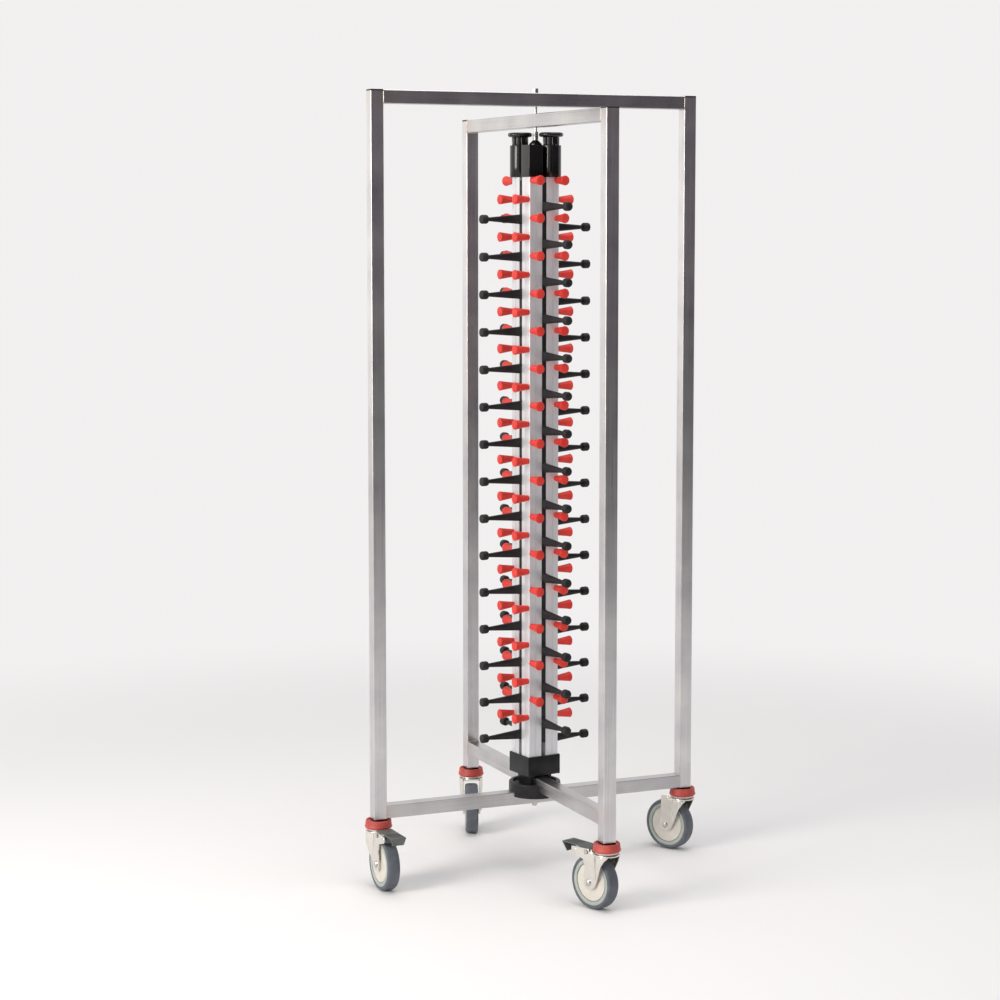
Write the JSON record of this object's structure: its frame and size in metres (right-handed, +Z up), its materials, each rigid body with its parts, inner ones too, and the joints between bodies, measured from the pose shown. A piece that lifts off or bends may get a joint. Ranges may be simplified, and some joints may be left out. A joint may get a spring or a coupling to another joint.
{
  "type": "plate dispenser cart",
  "caption": "Mobile rack for plated meals: two crossed steel tube hoops on swivel castors carry a column with four height-adjustable stacks of arms and red cones.",
  "frame": {"origin": "floor point below the tie rod, in the middle of the four castors", "axes": "+Z up, +X along the outer hoop towards the right post, +Y along the inner hoop towards the rear post; the front is -Y"},
  "size_m": [0.6916, 0.6914, 1.4882],
  "materials": {
    "stainless_tube": "satin ground",
    "column_aluminium": "satin anodised",
    "red_cone": "satin moulded",
    "black_rubber": "matt",
    "black_moulding": "fine matt texture",
    "brick_red_rubber": "matt",
    "stainless_pressing": "bright rolled",
    "plated_steel": "zinc plated",
    "cream_wheel": "satin moulded",
    "grey_tyre": "matt",
    "grey_pedal": "fine matt texture"
  },
  "bodies": {
    "frame": {"outer_post_left": "stainless_tube", "outer_post_right": "stainless_tube", "inner_post_front": "stainless_tube", "inner_post_rear": "stainless_tube", "outer_bottom_bar": "stainless_tube", "outer_top_bar": "stainless_tube", "inner_bottom_bar": "stainless_tube", "inner_top_bar": "stainless_tube", "post_caps": "black_moulding", "post_plugs": "black_moulding", "buffer_rings": "brick_red_rubber", "castor_stems": "plated_steel", "swivel_races": "plated_steel", "hub": "black_moulding", "tie_rod": "plated_steel", "tie_rod_nuts": "plated_steel"},
    "column": {"foot_block": "black_moulding", "centre_core": "black_moulding", "corner_profile_rear_right": "column_aluminium", "corner_profile_rear_left": "column_aluminium", "corner_profile_front_left": "column_aluminium", "corner_profile_front_right": "column_aluminium", "head_block": "black_moulding", "clamp_jaws": "plated_steel", "cones_left_right": "red_cone", "cones_front_rear": "red_cone"},
    "stack_left": {"strip_left": "black_moulding", "arms_left": "black_moulding", "arm_tips_left": "black_rubber"},
    "stack_front": {"strip_front": "black_moulding", "arms_front": "black_moulding", "arm_tips_front": "black_rubber"},
    "stack_right": {"strip_right": "black_moulding", "arms_right": "black_moulding", "arm_tips_right": "black_rubber"},
    "stack_rear": {"strip_rear": "black_moulding", "arms_rear": "black_moulding", "arm_tips_rear": "black_rubber"},
    "clamp_left": {"knob_left": "black_moulding", "knob_stud_left": "plated_steel"},
    "clamp_right": {"knob_right": "black_moulding", "knob_stud_right": "plated_steel"},
    "castor_left": {"fork_left": "stainless_pressing", "axle_left": "plated_steel"},
    "wheel_left": {"wheel_centre_left": "cream_wheel", "tyre_left": "grey_tyre"},
    "castor_right": {"fork_right": "stainless_pressing", "axle_right": "plated_steel"},
    "wheel_right": {"wheel_centre_right": "cream_wheel", "tyre_right": "grey_tyre"},
    "castor_front": {"fork_front": "stainless_pressing", "axle_front": "plated_steel"},
    "wheel_front": {"wheel_centre_front": "cream_wheel", "tyre_front": "grey_tyre"},
    "castor_rear": {"fork_rear": "stainless_pressing", "axle_rear": "plated_steel"},
    "wheel_rear": {"wheel_centre_rear": "cream_wheel", "tyre_rear": "grey_tyre"},
    "brake_left": {"pedal_left": "grey_pedal"},
    "brake_front": {"pedal_front": "grey_pedal"}
  },
  "joints": [
    {"name": "column_turn", "type": "hinge", "parent": "frame", "child": "column", "pos_m": [0, 0, 0.28], "axis": [0, 0, 1], "range_deg": [-15.8, 0.6]},
    {"name": "stack_left_height", "type": "slide", "parent": "column", "child": "stack_left", "axis": [0, 0, 1], "range_m": [-0.0286, 0.0054]},
    {"name": "stack_front_height", "type": "slide", "parent": "column", "child": "stack_front", "axis": [0, 0, 1], "range_m": [-0.0246, 0.0094]},
    {"name": "stack_right_height", "type": "slide", "parent": "column", "child": "stack_right", "axis": [0, 0, 1], "range_m": [-0.0137, 0.0203]},
    {"name": "stack_rear_height", "type": "slide", "parent": "column", "child": "stack_rear", "axis": [0, 0, 1], "range_m": [-0.002, 0.032]},
    {"name": "clamp_left_turn", "type": "hinge", "parent": "column", "child": "clamp_left", "pos_m": [-0.02371, 0.01812, 1.39], "axis": [0, 0, 1], "range_deg": [0, 180]},
    {"name": "clamp_right_turn", "type": "hinge", "parent": "column", "child": "clamp_right", "pos_m": [0.02371, -0.01812, 1.39], "axis": [0, 0, 1], "range_deg": [0, 180]},
    {"name": "castor_left_swivel", "type": "hinge", "parent": "frame", "child": "castor_left", "pos_m": [-0.32, 0, 0.107], "axis": [0, 0, 1], "continuous": true},
    {"name": "wheel_left_spin", "type": "hinge", "parent": "castor_left", "child": "wheel_left", "pos_m": [-0.31923, -0.02949, 0.05], "axis": [0.9997, 0.0262, 0], "continuous": true},
    {"name": "castor_right_swivel", "type": "hinge", "parent": "frame", "child": "castor_right", "pos_m": [0.32, 0, 0.107], "axis": [0, 0, 1], "continuous": true},
    {"name": "wheel_right_spin", "type": "hinge", "parent": "castor_right", "child": "wheel_right", "pos_m": [0.30615, 0.02605, 0.05], "axis": [-0.8829, -0.4695, 0], "continuous": true},
    {"name": "castor_front_swivel", "type": "hinge", "parent": "frame", "child": "castor_front", "pos_m": [0, -0.32, 0.107], "axis": [0, 0, 1], "continuous": true},
    {"name": "wheel_front_spin", "type": "hinge", "parent": "castor_front", "child": "wheel_front", "pos_m": [-0.00985, -0.29219, 0.05], "axis": [-0.9426, -0.3338, 0], "continuous": true},
    {"name": "castor_rear_swivel", "type": "hinge", "parent": "frame", "child": "castor_rear", "pos_m": [0, 0.32, 0.107], "axis": [0, 0, 1], "continuous": true},
    {"name": "wheel_rear_spin", "type": "hinge", "parent": "castor_rear", "child": "wheel_rear", "pos_m": [-0.01033, 0.29237, 0.05], "axis": [0.9367, -0.3502, 0], "continuous": true},
    {"name": "brake_left_press", "type": "hinge", "parent": "castor_left", "child": "brake_left", "pos_m": [-0.31906, -0.03599, 0.1058], "axis": [0.9997, 0.0262, 0], "range_deg": [0, 9]},
    {"name": "brake_front_press", "type": "hinge", "parent": "castor_front", "child": "brake_front", "pos_m": [-0.01202, -0.28607, 0.1058], "axis": [-0.9426, -0.3338, 0], "range_deg": [0, 9]}
  ]
}
